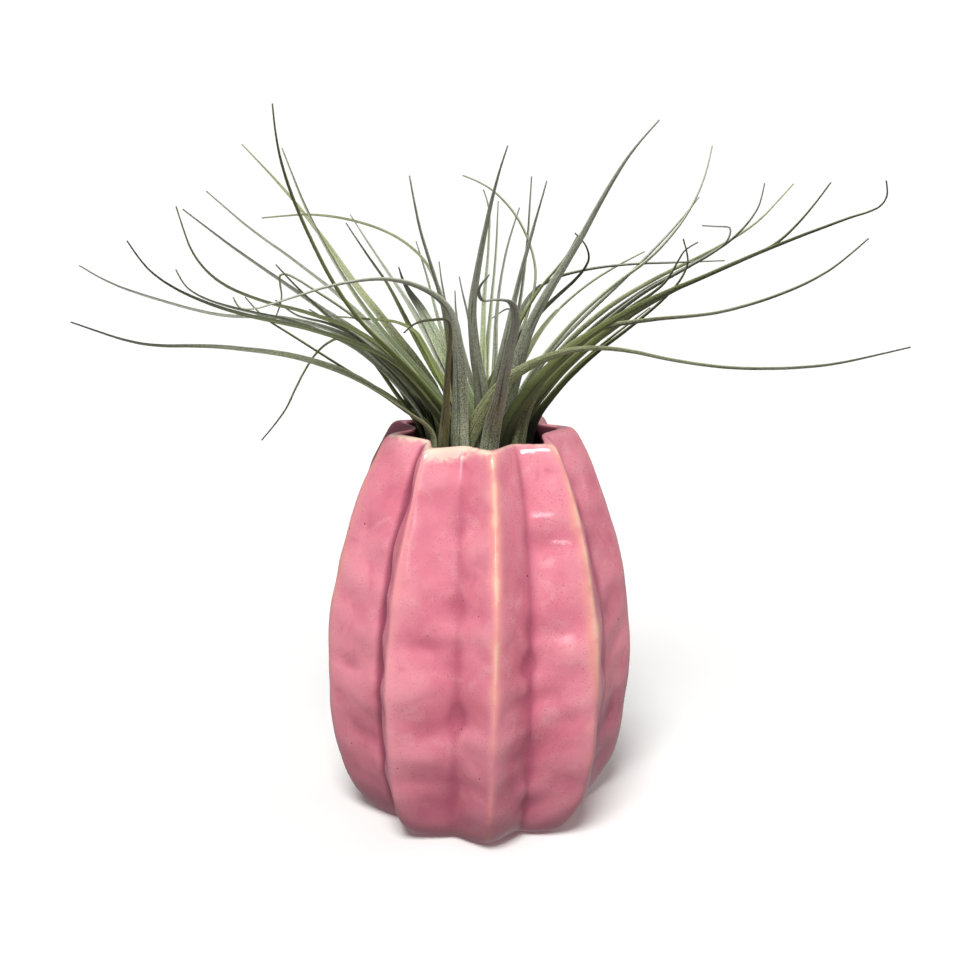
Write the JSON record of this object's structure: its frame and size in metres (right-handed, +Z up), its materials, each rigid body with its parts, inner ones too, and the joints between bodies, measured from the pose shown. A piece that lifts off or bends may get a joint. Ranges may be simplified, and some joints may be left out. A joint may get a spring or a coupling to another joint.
{
  "type": "air plant in a vase",
  "caption": "Ribbed, star-shaped ceramic vase with a pink glaze, holding an air plant whose long narrow leaves arch out of the mouth.",
  "frame": {"origin": "middle of the vase's flat foot, on its axis", "axes": "+Z up along the vase's axis, -Y towards the front, +X to the right as seen from the front, along the plant's widest spread"},
  "size_m": [0.2421, 0.1991, 0.2289],
  "materials": {
    "glaze": "gloss",
    "stem": "matte",
    "leaf_silver": "matte",
    "leaf_pale": "matte",
    "leaf_green": "matte",
    "leaf_dark": "matte",
    "leaf_brown": "matte"
  },
  "bodies": {
    "root": {"vase": "glaze", "stem": "stem", "leaf_left_01": "leaf_green", "leaf_left_02": "leaf_silver", "leaf_left_03": "leaf_dark", "leaf_left_04": "leaf_dark", "leaf_left_05": "leaf_silver", "leaf_left_06": "leaf_silver", "leaf_left_07": "leaf_silver", "leaf_left_08": "leaf_green", "leaf_left_09": "leaf_dark", "leaf_left_10": "leaf_pale", "leaf_left_11": "leaf_green", "leaf_left_12": "leaf_silver", "leaf_left_13": "leaf_green", "leaf_left_14": "leaf_green", "leaf_left_15": "leaf_dark", "leaf_left_16": "leaf_dark", "leaf_left_17": "leaf_green", "leaf_left_18": "leaf_dark", "leaf_left_19": "leaf_silver", "leaf_left_20": "leaf_brown", "leaf_back_01": "leaf_pale", "leaf_back_02": "leaf_silver", "leaf_back_03": "leaf_dark", "leaf_back_04": "leaf_pale", "leaf_back_05": "leaf_silver", "leaf_back_06": "leaf_silver", "leaf_back_07": "leaf_silver", "leaf_back_08": "leaf_pale", "leaf_back_09": "leaf_pale", "leaf_back_10": "leaf_silver", "leaf_back_11": "leaf_silver", "leaf_back_12": "leaf_green", "leaf_back_13": "leaf_silver", "leaf_back_14": "leaf_dark", "leaf_back_15": "leaf_dark", "leaf_back_16": "leaf_dark", "leaf_back_17": "leaf_dark", "leaf_front_01": "leaf_silver", "leaf_front_02": "leaf_silver", "leaf_front_03": "leaf_silver", "leaf_front_04": "leaf_green", "leaf_front_05": "leaf_dark", "leaf_right_01": "leaf_silver", "leaf_right_02": "leaf_dark", "leaf_right_03": "leaf_silver", "leaf_right_04": "leaf_green", "leaf_right_05": "leaf_pale", "leaf_right_06": "leaf_silver", "leaf_right_07": "leaf_silver", "leaf_right_08": "leaf_green", "leaf_right_09": "leaf_dark", "leaf_right_10": "leaf_silver", "leaf_right_11": "leaf_green", "leaf_right_12": "leaf_dark", "leaf_right_13": "leaf_dark", "leaf_right_14": "leaf_green", "leaf_right_15": "leaf_green"}
  },
  "joints": []
}
